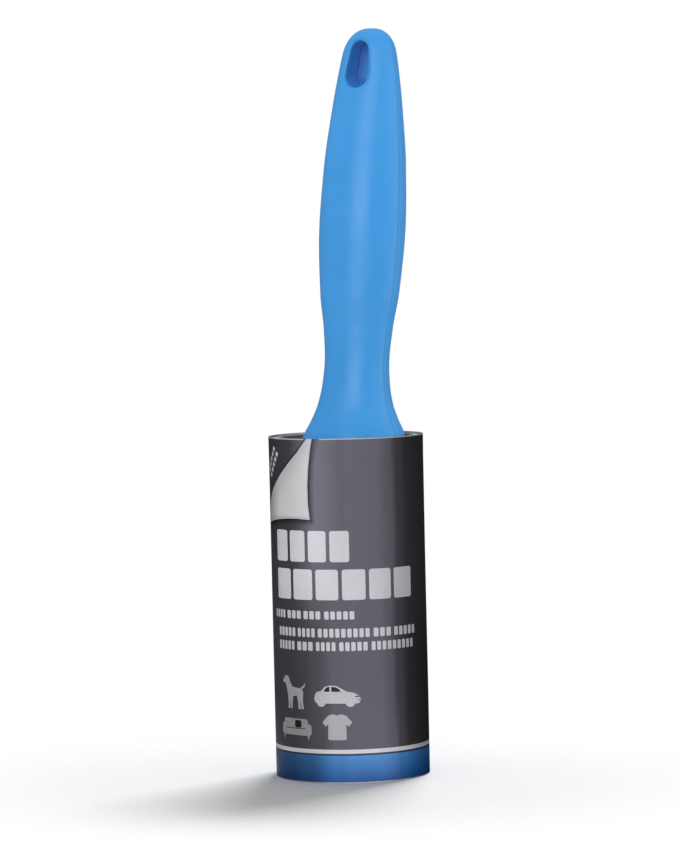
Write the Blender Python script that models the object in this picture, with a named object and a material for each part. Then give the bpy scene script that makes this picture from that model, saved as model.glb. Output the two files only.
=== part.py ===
"""Lint roller: a hollow two-shell grip on a fixed spindle, a drum that turns on the spindle, and a peel-off
refill that slides over the drum.

Metres, +Z up. The roller stands on its refill: the origin is the centre of the refill's lower end, and the
spindle's axis is Z. The grip's two shells meet on the plane y = 0, and the hang hole runs along Y.
"""

import math

import bmesh
import bpy
from mathutils import Matrix, Vector

MM = 0.001

# Refill: a cardboard core, the sticky sheets wound on it, and the printed cover around them.
RING_SIDES = 32  # the refill's layers share their sides, so that thin layers never cut each other
CORE_INNER_R = 19.0 * MM
CORE_WALL = 1.1 * MM
CORE_HEIGHT = 101.2 * MM
SHEET_COUNT = 30
SHEET_PITCH = 0.088 * MM
SHEET_THICKNESS = 0.073 * MM
SHEET_BOTTOM = 0.3 * MM
SHEET_TOP = 100.9 * MM
SHEET_CUT = 0.4 * MM  # the cut between one sheet's start and its end
SHEET_CUT_STEP = 5  # how many sides the cut moves on from one sheet to the next
COVER_HEIGHT = 101.6 * MM
COVER_INNER_R = 22.80 * MM
COVER_THICKNESS = 0.13 * MM
COVER_RISE = 0.16 * MM  # how much the cover's radius grows in one turn, so that its end lies over its start
COVER_EDGE_SIDE = 11  # the side, counted from +X, where the outer edge lies: at the back of the printing

# Grip: half widths along X and half thicknesses along Y at heights above the bell's lower face.
BELL_Z = 93.6 * MM
GRIP_LENGTH = 128.4 * MM
GRIP_LEAN = math.radians(4.35)
LEAN_Z = 62.3 * MM  # where the leaning grip's centre line would meet the spindle's axis
GRIP_STATIONS = (
    # height, half width, half thickness
    (0.0 * MM, 16.10 * MM, 16.10 * MM),  # bell, inside the core
    (2.5 * MM, 16.05 * MM, 16.05 * MM),
    (8.0 * MM, 15.10 * MM, 15.10 * MM),  # level with the refill's rim
    (12.5 * MM, 13.00 * MM, 13.00 * MM),
    (17.5 * MM, 11.15 * MM, 11.15 * MM),
    (23.5 * MM, 10.05 * MM, 10.05 * MM),
    (30.0 * MM, 9.65 * MM, 9.65 * MM),  # neck
    (40.0 * MM, 10.35 * MM, 10.35 * MM),
    (50.0 * MM, 11.75 * MM, 11.75 * MM),
    (70.0 * MM, 12.85 * MM, 12.85 * MM),  # palm swell
    (88.0 * MM, 12.25 * MM, 12.00 * MM),
    (103.0 * MM, 11.00 * MM, 9.90 * MM),
    (116.0 * MM, 9.40 * MM, 7.60 * MM),
    (GRIP_LENGTH, 6.85 * MM, 5.60 * MM),  # the width the end rounding closes down from
)
END_ROUNDING = 7.6 * MM
END_EXPONENT = 2.5
GRIP_SIDES = 32
SHELL_WALL = 1.8 * MM
SEAM_GAP = 0.1 * MM
BELL_FLOOR = 2.0 * MM
CAVITY_TOP = 118.0 * MM

HOLE_HEIGHT = 117.7 * MM  # the hang hole's middle, above the bell's lower face
HOLE_LOW_R, HOLE_LOW_DROP = 4.05 * MM, 2.8 * MM
HOLE_HIGH_R, HOLE_HIGH_RISE = 3.1 * MM, 3.7 * MM
HOLE_WALL = 1.6 * MM

RIB_HEIGHTS = (53.0 * MM, 79.0 * MM, 99.0 * MM)
RIB_THICKNESS = 1.2 * MM
BOSS_HEIGHTS = (43.0 * MM, 66.0 * MM, 91.0 * MM)
BOSS_R = 3.2 * MM
PIN_R, PIN_REACH = 1.5 * MM, 3.0 * MM
SOCKET_PLAY = 0.15 * MM
SOCKET_EXTRA_DEPTH = 0.5 * MM

# Spindle, held between the shells by saddles on both sides of its collar.
SPINDLE_R = 4.0 * MM
SPINDLE_LOW_Z, SPINDLE_HIGH_Z = 6.0 * MM, 126.0 * MM
SPINDLE_CHAMFER = 0.6 * MM
COLLAR_R = 5.6 * MM
COLLAR_LOW_Z, COLLAR_HIGH_Z = 106.0 * MM, 108.5 * MM
FLAT_HALF_WIDTH, FLAT_LOW_Z = 3.2 * MM, 114.0 * MM
PILOT_R, PILOT_DEPTH = 1.6 * MM, 16.0 * MM
CLAMP_PLAY = 0.05 * MM
SADDLE_THICKNESS = 2.0 * MM
SADDLE_GAP = 0.3 * MM
LOW_SADDLE_Z, FLAT_SADDLE_Z = 98.6 * MM, 117.0 * MM

# Drum: the sleeve that carries the refill, and the cap that closes its lower end.
RUNNING_PLAY = 0.10 * MM
DRUM_R, DRUM_WALL = 17.0 * MM, 1.5 * MM
DRUM_LOW_Z, DRUM_HIGH_Z = 3.9 * MM, 91.9 * MM
DRUM_SIDES = 48
HUB_R, HUB_LENGTH = 7.0 * MM, 10.0 * MM
WEB_THICKNESS = 1.8 * MM
RIB_COUNT = 6
DRUM_RIB_R, DRUM_RIB_WIDTH = 18.55 * MM, 2.0 * MM
DRUM_RIB_LOW_Z, DRUM_RIB_HIGH_Z = 6.0 * MM, 88.0 * MM
RIB_LEAD_IN = 3.0 * MM
TONGUE_COUNT = 3
TONGUE_WIDTH, TONGUE_SLOT = 6.4 * MM, 0.9 * MM
TONGUE_LOW_Z, TONGUE_HIGH_Z = 16.0 * MM, 44.0 * MM
BUMP_R, BUMP_WIDTH, BUMP_HEIGHT = 18.75 * MM, 5.0 * MM, 8.0 * MM

CAP_LOW_Z, CAP_FLANGE = 1.6 * MM, 2.0 * MM
CAP_SKIRT_PLAY, CAP_SKIRT_WALL, CAP_SKIRT_TOP_Z = 0.15 * MM, 1.5 * MM, 10.0 * MM
CAP_CUP_R, CAP_CUP_WALL = 8.5 * MM, 1.5 * MM
CAP_CUP_FLOOR_Z, CAP_HUB_TOP_Z = 6.2 * MM, 16.0 * MM
WINDOW_COUNT = 6
WINDOW_INNER_R, WINDOW_OUTER_R = 10.7 * MM, 13.2 * MM
WINDOW_ANGLE = math.radians(42)

# Washers and screw.
THRUST_R, THRUST_LOW_Z, THRUST_HIGH_Z = 9.0 * MM, 92.2 * MM, 93.3 * MM
KEEPER_R, KEEPER_LOW_Z, KEEPER_HIGH_Z = 6.5 * MM, 4.9 * MM, 5.85 * MM
SCREW_SHANK_R, SCREW_SHANK_TOP_Z, SCREW_TIP_Z = 1.45 * MM, 16.0 * MM, 17.6 * MM
SCREW_HEAD_R, SCREW_HEAD_LOW_Z, SCREW_HEAD_HIGH_Z = 3.5 * MM, 2.7 * MM, 4.75 * MM
SCREW_HEAD_ROUNDING = 0.9 * MM
CROSS_REACH, CROSS_WIDTH, CROSS_DEPTH = 1.9 * MM, 0.9 * MM, 1.3 * MM
SMALL_SIDES = 24

WELD = 1e-7  # metres; joins the first and last points of a turned shape
SMOOTH_ANGLE = math.radians(35)


# ---------------------------------------------------------------- scene and materials


def clear_scene():
    for old in list(bpy.data.objects):
        bpy.data.objects.remove(old, do_unlink=True)


def material(name, colour, roughness, metallic=0.0):
    made = bpy.data.materials.new(name)
    made.use_nodes = True
    shader = made.node_tree.nodes["Principled BSDF"]
    shader.inputs["Base Color"].default_value = (*colour, 1.0)
    shader.inputs["Roughness"].default_value = roughness
    shader.inputs["Metallic"].default_value = metallic
    return made


def object_of(name, bm, surface=None):
    """Turns a bmesh into a linked object with outward normals, smooth but for its sharp edges."""
    bmesh.ops.recalc_face_normals(bm, faces=bm.faces)
    mesh = bpy.data.meshes.new(name)
    bm.to_mesh(mesh)
    bm.free()
    mesh.shade_smooth()
    mesh.set_sharp_from_angle(angle=SMOOTH_ANGLE)
    if surface is not None:
        mesh.materials.append(surface)
    made = bpy.data.objects.new(name, mesh)
    bpy.context.scene.collection.objects.link(made)
    return made


def helper_of(name, bm):
    """An object that only cuts or joins another: it isn't part of the model."""
    made = object_of(name, bm)
    made.hide_render = True
    made.display_type = "WIRE"
    return made


def combine(target, other, operation):
    step = target.modifiers.new(other.name, "BOOLEAN")
    step.operation = operation
    step.solver = "EXACT"
    step.object = other
    return target


def moving_frame(name, parent=None):
    """An empty on the roller's axis that carries one moving body."""
    made = bpy.data.objects.new(name, None)
    bpy.context.scene.collection.objects.link(made)
    made.parent = parent
    return made


# ---------------------------------------------------------------- shapes


def turned(profile, sides, closed=True):
    """A bmesh made by turning (radius, z) points round Z. An open profile starts and ends on the axis."""
    bm = bmesh.new()
    points = [bm.verts.new((radius, 0.0, z)) for radius, z in profile]
    pairs = list(zip(points, points[1:]))
    if closed:
        pairs.append((points[-1], points[0]))
    edges = [bm.edges.new(pair) for pair in pairs]
    bmesh.ops.spin(
        bm, geom=points + edges, axis=(0, 0, 1), cent=(0, 0, 0), angle=math.tau, steps=sides, use_duplicate=False
    )
    bmesh.ops.remove_doubles(bm, verts=bm.verts, dist=WELD)
    return bm


def ring(inner_r, outer_r, low_z, high_z, sides):
    return turned([(inner_r, low_z), (outer_r, low_z), (outer_r, high_z), (inner_r, high_z)], sides)


def add_prism(bm, outline, low, high, place=Matrix.Identity(4)):
    """Adds the solid swept by an outline in the local XY plane from local z = low to high."""
    bottom = [bm.verts.new(place @ Vector((x, y, low))) for x, y in outline]
    top = [bm.verts.new(place @ Vector((x, y, high))) for x, y in outline]
    bm.faces.new(bottom)
    bm.faces.new(top)
    for i in range(len(outline)):
        j = (i + 1) % len(outline)
        bm.faces.new((bottom[i], bottom[j], top[j], top[i]))


def rectangle(half_x, half_y, centre=(0.0, 0.0)):
    cx, cy = centre
    return [(cx - half_x, cy - half_y), (cx + half_x, cy - half_y), (cx + half_x, cy + half_y), (cx - half_x, cy + half_y)]


def circle(radius, sides, centre=(0.0, 0.0)):
    angles = [math.tau * i / sides for i in range(sides)]
    return [(centre[0] + radius * math.cos(a), centre[1] + radius * math.sin(a)) for a in angles]


def egg(low_r, low_y, high_r, high_y, arc_steps=10):
    """The outline round two circles on the local Y axis, a wide one below and a narrow one above."""
    slope = math.asin((low_r - high_r) / (high_y - low_y))
    right = [(high_r, high_y, slope + (math.pi - 2 * slope) * i / arc_steps) for i in range(arc_steps + 1)]
    left = [(low_r, low_y, math.pi - slope + (math.pi + 2 * slope) * i / arc_steps) for i in range(arc_steps + 1)]
    return [(r * math.cos(a), y + r * math.sin(a)) for r, y, a in right + left]


def outward(angle):
    """A frame whose local z points out of the roller's axis, local x runs round it and local y up it."""
    out = Vector((math.cos(angle), math.sin(angle), 0.0))
    up = Vector((0.0, 0.0, 1.0))
    return Matrix((up.cross(out), up, out)).transposed().to_4x4()


def around(angle):
    """A frame whose local x points out of the roller's axis, local y up it and local z round it."""
    return outward(angle) @ Matrix.Rotation(math.pi / 2, 4, "Y")


# ---------------------------------------------------------------- grip


def through(stations, column, height):
    """A smooth curve through one column of the stations: a cubic whose slopes never overshoot."""
    xs = [s[0] for s in stations]
    ys = [s[column] for s in stations]
    steps = [(ys[i + 1] - ys[i]) / (xs[i + 1] - xs[i]) for i in range(len(xs) - 1)]
    slopes = [steps[0]]
    for before, after in zip(steps, steps[1:]):
        slopes.append(2 * before * after / (before + after) if before * after > 0 else 0.0)
    slopes.append(steps[-1])
    span = max(i for i in range(len(steps)) if xs[i] <= height or i == 0)
    width = xs[span + 1] - xs[span]
    t = min(1.0, max(0.0, (height - xs[span]) / width))
    rise = 2 * t**3 - 3 * t**2
    return (
        (1 + rise) * ys[span]
        - rise * ys[span + 1]
        + (t**3 - 2 * t**2 + t) * width * slopes[span]
        + (t**3 - t**2) * width * slopes[span + 1]
    )


def grip_section(height):
    """(centre x, half width, half thickness) of the grip's outside at a height above the bell's lower face."""
    u = min(1.0, max(0.0, (height - (GRIP_LENGTH - END_ROUNDING)) / END_ROUNDING))
    closing = (1 - u**END_EXPONENT) ** (1 / END_EXPONENT)
    return (
        (BELL_Z + height - LEAN_Z) * math.tan(GRIP_LEAN),
        through(GRIP_STATIONS, 1, height) * closing,
        through(GRIP_STATIONS, 2, height) * closing,
    )


def grip_heights():
    """Heights of the grip's sections: close together in the bell and in the rounded end."""
    bell = [0, 2.5, 5, 8, 11, 14.5, 18, 22, 26, 30]
    stem = range(36, 115, 6)
    rounded = [GRIP_LENGTH - END_ROUNDING * (1 - math.sin(math.pi / 2 * i / 8)) for i in range(8)]
    return [h * MM for h in (*bell, *stem)] + rounded


def lofted(heights, shrink=0.0, point_at_top=None):
    """A bmesh through the grip's sections, each shrunk by a wall's thickness, closed flat or with a point."""
    bm = bmesh.new()
    loops = []
    for height in heights:
        centre, half_width, half_thickness = grip_section(height)
        loop = []
        for i in range(GRIP_SIDES):
            a = math.tau * i / GRIP_SIDES
            x = centre + (half_width - shrink) * math.cos(a)
            loop.append(bm.verts.new((x, (half_thickness - shrink) * math.sin(a), BELL_Z + height)))
        loops.append(loop)
    for low, high in zip(loops, loops[1:]):
        for i in range(GRIP_SIDES):
            j = (i + 1) % GRIP_SIDES
            bm.faces.new((low[i], low[j], high[j], high[i]))
    bm.faces.new(loops[0])
    if point_at_top is None:
        bm.faces.new(loops[-1])
    else:
        tip = bm.verts.new((grip_section(point_at_top)[0], 0.0, BELL_Z + point_at_top))
        for i in range(GRIP_SIDES):
            bm.faces.new((loops[-1][i], loops[-1][(i + 1) % GRIP_SIDES], tip))
    return bm


def half_grip(side):
    """The grip's outside, cut off at the seam. side is -1 for the front and +1 for the back."""
    bm = lofted(grip_heights(), point_at_top=GRIP_LENGTH)
    everything = bm.verts[:] + bm.edges[:] + bm.faces[:]
    seam = Vector((0.0, side * SEAM_GAP / 2, 0.0))
    bmesh.ops.bisect_plane(bm, geom=everything, plane_co=seam, plane_no=(0, side, 0), clear_inner=True)
    rim = [edge for edge in bm.edges if edge.is_boundary]
    bmesh.ops.edgeloop_fill(bm, edges=rim)
    return bm


def along_grip(height):
    """A frame on the grip's centre line whose local x is X, local y is up the leaning grip and local z is -Y."""
    centre, _, _ = grip_section(height)
    stand = Matrix.Translation((centre, 0.0, BELL_Z + height)) @ Matrix.Rotation(GRIP_LEAN, 4, "Y")
    return stand @ Matrix.Rotation(math.pi / 2, 4, "X")


def hang_hole(extra, reach):
    """The hang hole's egg-shaped prism, wider by extra, reaching this far to both sides of the seam."""
    bm = bmesh.new()
    outline = egg(HOLE_LOW_R + extra, -HOLE_LOW_DROP, HOLE_HIGH_R + extra, HOLE_HIGH_RISE)
    add_prism(bm, outline, -reach, reach, along_grip(HOLE_HEIGHT))
    return bm


def grip_cavity():
    """The hollow inside both shells: the shrunken grip, less the walls that stay standing in it."""
    low, high = BELL_FLOOR, CAVITY_TOP
    heights = [low] + [h for h in grip_heights() if low < h < high] + [high]
    cavity = helper_of("grip_cavity", lofted(heights, SHELL_WALL))

    plates = bmesh.new()
    plate = rectangle(30 * MM, 20 * MM)
    saddles = [
        (LOW_SADDLE_Z, LOW_SADDLE_Z + SADDLE_THICKNESS),
        (COLLAR_LOW_Z - SADDLE_GAP - SADDLE_THICKNESS, COLLAR_LOW_Z - SADDLE_GAP),
        (COLLAR_HIGH_Z + SADDLE_GAP, COLLAR_HIGH_Z + SADDLE_GAP + SADDLE_THICKNESS),
        (FLAT_SADDLE_Z, FLAT_SADDLE_Z + SADDLE_THICKNESS),
    ]
    ribs = [(BELL_Z + h, BELL_Z + h + RIB_THICKNESS) for h in RIB_HEIGHTS]
    for bottom, top in saddles + ribs:
        add_prism(plates, plate, bottom, top)
    combine(cavity, helper_of("cross_walls", plates), "DIFFERENCE")

    bosses = bmesh.new()
    for height in BOSS_HEIGHTS:
        add_prism(bosses, circle(BOSS_R, SMALL_SIDES), -20 * MM, 20 * MM, along_grip(height))
    combine(cavity, helper_of("pin_bosses", bosses), "DIFFERENCE")
    return combine(cavity, helper_of("hang_hole_wall", hang_hole(HOLE_WALL, 20 * MM)), "DIFFERENCE")


def spindle_seat():
    """What the spindle takes out of the saddles and the bell's floor: a round bore and a flat-sided one."""
    seat = bmesh.new()
    add_prism(seat, circle(SPINDLE_R + CLAMP_PLAY, SMALL_SIDES), BELL_Z - 2 * MM, FLAT_LOW_Z)
    outline = rectangle(FLAT_HALF_WIDTH + CLAMP_PLAY, SPINDLE_R + CLAMP_PLAY)
    add_prism(seat, outline, FLAT_LOW_Z + 1 * MM, SPINDLE_HIGH_Z + 1 * MM)
    return seat


def pins(radius, low, high):
    """Round pegs on the bosses' axes, from local z = low to high; local z runs towards -Y."""
    bm = bmesh.new()
    for height in BOSS_HEIGHTS:
        add_prism(bm, circle(radius, 16), low, high, along_grip(height))
    return bm


def make_grip(parent, blue):
    cavity = grip_cavity()
    seat = helper_of("spindle_seat", spindle_seat())
    hole = helper_of("hang_hole", hang_hole(0.0, 30 * MM))
    shells = {
        "grip_front_shell": object_of("grip_front_shell", half_grip(-1), blue),
        "grip_back_shell": object_of("grip_back_shell", half_grip(+1), blue),
    }
    for shell in shells.values():
        for cutter in (cavity, seat, hole):
            combine(shell, cutter, "DIFFERENCE")
        shell.parent = parent
    socket_depth = PIN_REACH + SOCKET_EXTRA_DEPTH
    sockets = helper_of("pin_sockets", pins(PIN_R + SOCKET_PLAY, -1 * MM, socket_depth))
    combine(shells["grip_front_shell"], sockets, "DIFFERENCE")
    combine(shells["grip_back_shell"], helper_of("locating_pins", pins(PIN_R, -3 * MM, PIN_REACH)), "UNION")


# ---------------------------------------------------------------- spindle, washers and screw


def make_spindle(parent, white):
    profile = [
        (0.0, SPINDLE_LOW_Z + PILOT_DEPTH),
        (PILOT_R, SPINDLE_LOW_Z + PILOT_DEPTH),
        (PILOT_R, SPINDLE_LOW_Z),
        (SPINDLE_R, SPINDLE_LOW_Z),
        (SPINDLE_R, COLLAR_LOW_Z),
        (COLLAR_R, COLLAR_LOW_Z),
        (COLLAR_R, COLLAR_HIGH_Z),
        (SPINDLE_R, COLLAR_HIGH_Z),
        (SPINDLE_R, SPINDLE_HIGH_Z - SPINDLE_CHAMFER),
        (SPINDLE_R - SPINDLE_CHAMFER, SPINDLE_HIGH_Z),
        (0.0, SPINDLE_HIGH_Z),
    ]
    spindle = object_of("spindle", turned(profile, SMALL_SIDES, closed=False), white)
    flats = bmesh.new()
    for side in (-1, 1):
        block = rectangle(2 * MM, 6 * MM, (side * (FLAT_HALF_WIDTH + 2 * MM), 0.0))
        add_prism(flats, block, FLAT_LOW_Z, SPINDLE_HIGH_Z + 2 * MM)
    combine(spindle, helper_of("spindle_flats", flats), "DIFFERENCE")
    spindle.parent = parent


def make_washers(parent, white, steel):
    thrust = ring(SPINDLE_R + RUNNING_PLAY, THRUST_R, THRUST_LOW_Z, THRUST_HIGH_Z, SMALL_SIDES)
    object_of("thrust_washer", thrust, white).parent = parent
    keeper = ring(SCREW_SHANK_R + RUNNING_PLAY, KEEPER_R, KEEPER_LOW_Z, KEEPER_HIGH_Z, SMALL_SIDES)
    object_of("retaining_washer", keeper, steel).parent = parent


def make_screw(parent, steel):
    profile = [
        (0.0, SCREW_HEAD_LOW_Z),
        (SCREW_HEAD_R - SCREW_HEAD_ROUNDING, SCREW_HEAD_LOW_Z),
        (SCREW_HEAD_R, SCREW_HEAD_LOW_Z + SCREW_HEAD_ROUNDING),
        (SCREW_HEAD_R, SCREW_HEAD_HIGH_Z),
        (SCREW_SHANK_R, SCREW_HEAD_HIGH_Z),
        (SCREW_SHANK_R, SCREW_SHANK_TOP_Z),
        (0.0, SCREW_TIP_Z),
    ]
    screw = object_of("retaining_screw", turned(profile, SMALL_SIDES, closed=False), steel)
    r, w = CROSS_REACH, CROSS_WIDTH / 2
    corner = [(r, -w), (r, w), (w, w)]
    cross = []
    for quarter in range(4):
        turn = Matrix.Rotation(quarter * math.pi / 2, 2)
        cross += [tuple(turn @ Vector(point)) for point in corner]
    recess = bmesh.new()
    add_prism(recess, cross, SCREW_HEAD_LOW_Z - 1 * MM, SCREW_HEAD_LOW_Z + CROSS_DEPTH)
    combine(screw, helper_of("screw_cross", recess), "DIFFERENCE")
    screw.parent = parent


# ---------------------------------------------------------------- drum


def drum_ribs():
    """Six long ribs that centre the core, their lower ends sloped so that the core slides on."""
    bm = bmesh.new()
    root_r = DRUM_R - DRUM_WALL / 2
    outline = [
        (root_r, DRUM_RIB_LOW_Z),
        (DRUM_RIB_R, DRUM_RIB_LOW_Z + RIB_LEAD_IN),
        (DRUM_RIB_R, DRUM_RIB_HIGH_Z),
        (root_r, DRUM_RIB_HIGH_Z),
    ]
    for i in range(RIB_COUNT):
        angle = math.tau * (i + 0.5) / RIB_COUNT
        add_prism(bm, outline, -DRUM_RIB_WIDTH / 2, DRUM_RIB_WIDTH / 2, around(angle))
    return bm


def tongue_slots():
    """U-shaped slots through the sleeve's wall, which leave three tongues that hang from their upper ends."""
    bm = bmesh.new()
    inner, outer = TONGUE_WIDTH / 2, TONGUE_WIDTH / 2 + TONGUE_SLOT
    low, high = TONGUE_LOW_Z, TONGUE_HIGH_Z
    outline = [
        (-outer, high),
        (-outer, low),
        (outer, low),
        (outer, high),
        (inner, high),
        (inner, low + TONGUE_SLOT),
        (-inner, low + TONGUE_SLOT),
        (-inner, high),
    ]
    for i in range(TONGUE_COUNT):
        angle = math.tau * i / TONGUE_COUNT
        add_prism(bm, outline, DRUM_R - 2 * DRUM_WALL, DRUM_RIB_R + 2 * MM, outward(angle))
    return bm


def tongue_bumps():
    """The raised pads at the tongues' lower ends that press on the core."""
    bm = bmesh.new()
    root_r = DRUM_R - DRUM_WALL / 2
    low = TONGUE_LOW_Z + TONGUE_SLOT
    outline = [
        (root_r, low + 0.5 * MM),
        (BUMP_R, low + BUMP_HEIGHT * 0.4),
        (BUMP_R, low + BUMP_HEIGHT * 0.6),
        (root_r, low + BUMP_HEIGHT),
    ]
    for i in range(TONGUE_COUNT):
        angle = math.tau * i / TONGUE_COUNT
        add_prism(bm, outline, -BUMP_WIDTH / 2, BUMP_WIDTH / 2, around(angle))
    return bm


def make_sleeve(parent, blue):
    inner_r = DRUM_R - DRUM_WALL
    bore_r = SPINDLE_R + RUNNING_PLAY
    web_low_z = DRUM_HIGH_Z - WEB_THICKNESS
    profile = [
        (inner_r, DRUM_LOW_Z),
        (DRUM_R, DRUM_LOW_Z),
        (DRUM_R, DRUM_HIGH_Z),
        (bore_r, DRUM_HIGH_Z),
        (bore_r, DRUM_HIGH_Z - HUB_LENGTH),
        (HUB_R, DRUM_HIGH_Z - HUB_LENGTH),
        (HUB_R, web_low_z),
        (inner_r, web_low_z),
    ]
    sleeve = object_of("drum_sleeve", turned(profile, DRUM_SIDES), blue)
    combine(sleeve, helper_of("drum_ribs", drum_ribs()), "UNION")
    combine(sleeve, helper_of("tongue_slots", tongue_slots()), "DIFFERENCE")
    combine(sleeve, helper_of("tongue_bumps", tongue_bumps()), "UNION")
    sleeve.parent = parent


def cap_windows():
    """Curved windows through the cap's flange, which leave spokes between its cup and its skirt."""
    bm = bmesh.new()
    arc_steps = 6
    for i in range(WINDOW_COUNT):
        middle = math.tau * (i + 0.5) / WINDOW_COUNT
        angles = [middle + WINDOW_ANGLE * (j / arc_steps - 0.5) for j in range(arc_steps + 1)]
        outline = [(WINDOW_OUTER_R * math.cos(a), WINDOW_OUTER_R * math.sin(a)) for a in angles]
        outline += [(WINDOW_INNER_R * math.cos(a), WINDOW_INNER_R * math.sin(a)) for a in reversed(angles)]
        add_prism(bm, outline, CAP_LOW_Z - 1 * MM, CAP_LOW_Z + CAP_FLANGE + 1 * MM)
    return bm


def make_end_cap(parent, blue):
    bore_r = SPINDLE_R + RUNNING_PLAY
    skirt_r = DRUM_R - DRUM_WALL - CAP_SKIRT_PLAY
    flange_z = CAP_LOW_Z + CAP_FLANGE
    cup_top_z = CAP_CUP_FLOOR_Z + CAP_CUP_WALL
    profile = [
        (DRUM_R, CAP_LOW_Z),
        (DRUM_R, flange_z),
        (skirt_r, flange_z),
        (skirt_r, CAP_SKIRT_TOP_Z),
        (skirt_r - CAP_SKIRT_WALL, CAP_SKIRT_TOP_Z),
        (skirt_r - CAP_SKIRT_WALL, flange_z),
        (CAP_CUP_R + CAP_CUP_WALL, flange_z),
        (CAP_CUP_R + CAP_CUP_WALL, cup_top_z),
        (HUB_R, cup_top_z),
        (HUB_R, CAP_HUB_TOP_Z),
        (bore_r, CAP_HUB_TOP_Z),
        (bore_r, CAP_CUP_FLOOR_Z),
        (CAP_CUP_R, CAP_CUP_FLOOR_Z),
        (CAP_CUP_R, CAP_LOW_Z),
    ]
    cap = object_of("drum_end_cap", turned(profile, DRUM_SIDES), blue)
    combine(cap, helper_of("cap_windows", cap_windows()), "DIFFERENCE")
    cap.parent = parent


# ---------------------------------------------------------------- refill


def side_point(radius, side):
    """A point at a corner of the refill's layers, side counted from +X, or part-way along a side."""
    whole = math.floor(side)
    a, b = (math.tau * (whole + i) / RING_SIDES for i in (0, 1))
    start = Vector((radius * math.cos(a), radius * math.sin(a)))
    end = Vector((radius * math.cos(b), radius * math.sin(b)))
    return start.lerp(end, side - whole)


def wound_layer(sides, inner_radius, thickness, low_z, high_z):
    """A wall that follows a list of sides, with inner_radius(side), closed at both of its ends."""
    bm = bmesh.new()
    rows = []
    for side in sides:
        r = inner_radius(side)
        inner, outer = side_point(r, side), side_point(r + thickness, side)
        corners = ((inner, low_z), (outer, low_z), (outer, high_z), (inner, high_z))
        rows.append([bm.verts.new((p.x, p.y, z)) for p, z in corners])
    for here, there in zip(rows, rows[1:]):
        for i in range(4):
            j = (i + 1) % 4
            bm.faces.new((here[i], here[j], there[j], there[i]))
    bm.faces.new(rows[0])
    bm.faces.new(rows[-1])
    return bm


def make_core(parent, cardboard):
    outer_r = CORE_INNER_R + CORE_WALL
    object_of("cardboard_core", ring(CORE_INNER_R, outer_r, 0.0, CORE_HEIGHT, RING_SIDES), cardboard).parent = parent


def make_sheets(parent, paper):
    """The sheets, each one turn long, numbered from the outermost in."""
    half_cut = SHEET_CUT / 2 / (math.tau * CORE_INNER_R / RING_SIDES)  # as a share of one side
    for number in range(1, SHEET_COUNT + 1):
        layer = SHEET_COUNT - number
        radius = CORE_INNER_R + CORE_WALL + (SHEET_PITCH - SHEET_THICKNESS) + layer * SHEET_PITCH
        cut = (number * SHEET_CUT_STEP) % RING_SIDES + 0.5
        sides = [cut + half_cut]
        sides += [math.floor(cut) + 1 + i for i in range(RING_SIDES)]
        sides += [cut - half_cut + RING_SIDES]
        bm = wound_layer(sides, lambda side, r=radius: r, SHEET_THICKNESS, SHEET_BOTTOM, SHEET_TOP)
        object_of(f"sheet_{number:02d}", bm, paper).parent = parent


def make_cover(parent, printed):
    """The printed cover: a turn and one side more, its outer edge lying over its start."""
    turns = RING_SIDES + 1

    def radius(side):
        return COVER_INNER_R + COVER_RISE * (COVER_EDGE_SIDE + turns - side) / RING_SIDES

    sides = [COVER_EDGE_SIDE + i for i in range(turns + 1)]
    bm = wound_layer(sides, radius, COVER_THICKNESS, 0.0, COVER_HEIGHT)
    object_of("printed_cover", bm, printed).parent = parent


# ---------------------------------------------------------------- the whole roller


def main():
    clear_scene()
    blue = material("grip_blue", (0.060, 0.330, 0.780), 0.35)
    white = material("natural_plastic", (0.80, 0.80, 0.77), 0.40)
    steel = material("zinc_steel", (0.62, 0.63, 0.65), 0.30, metallic=1.0)
    cardboard = material("cardboard", (0.34, 0.22, 0.13), 0.90)
    paper = material("sheet_paper", (0.80, 0.80, 0.80), 0.60)
    printed = material("printed_grey", (0.105, 0.100, 0.120), 0.40)

    refill = moving_frame("refill")
    cover = moving_frame("cover", refill)
    drum = moving_frame("drum", refill)
    handle = moving_frame("handle", drum)

    make_grip(handle, blue)
    make_spindle(handle, white)
    make_washers(handle, white, steel)
    make_screw(handle, steel)
    make_sleeve(drum, blue)
    make_end_cap(drum, blue)
    make_core(refill, cardboard)
    make_sheets(refill, paper)
    make_cover(cover, printed)


main()
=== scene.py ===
"""The lint roller's looks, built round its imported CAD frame.

The frame is in metres: the roller stands on z = 0, its drum turns on the Z axis, and the grip's two shells meet on
y = 0. Shapes here are drawn in millimetres and scaled when they become pieces.
"""

import math
import random

import bmesh
import bpy
from mathutils import Matrix, Vector, noise
from mathutils.geometry import delaunay_2d_cdt


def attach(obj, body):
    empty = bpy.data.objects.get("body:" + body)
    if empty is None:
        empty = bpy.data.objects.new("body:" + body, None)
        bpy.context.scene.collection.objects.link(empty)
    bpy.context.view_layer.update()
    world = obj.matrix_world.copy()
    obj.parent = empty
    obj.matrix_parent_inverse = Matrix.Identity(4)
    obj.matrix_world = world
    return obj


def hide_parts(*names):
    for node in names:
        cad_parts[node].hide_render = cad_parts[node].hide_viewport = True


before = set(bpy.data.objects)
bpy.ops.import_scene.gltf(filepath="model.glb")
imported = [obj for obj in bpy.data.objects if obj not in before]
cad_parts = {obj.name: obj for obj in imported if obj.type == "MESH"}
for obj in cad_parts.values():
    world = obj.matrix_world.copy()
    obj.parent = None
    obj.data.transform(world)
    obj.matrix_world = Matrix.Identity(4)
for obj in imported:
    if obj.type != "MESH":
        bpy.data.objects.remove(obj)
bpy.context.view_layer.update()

MM = 0.001
SMOOTH_ANGLE = math.radians(35)
rng = random.Random(4)  # for the sheets' uneven edges

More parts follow.
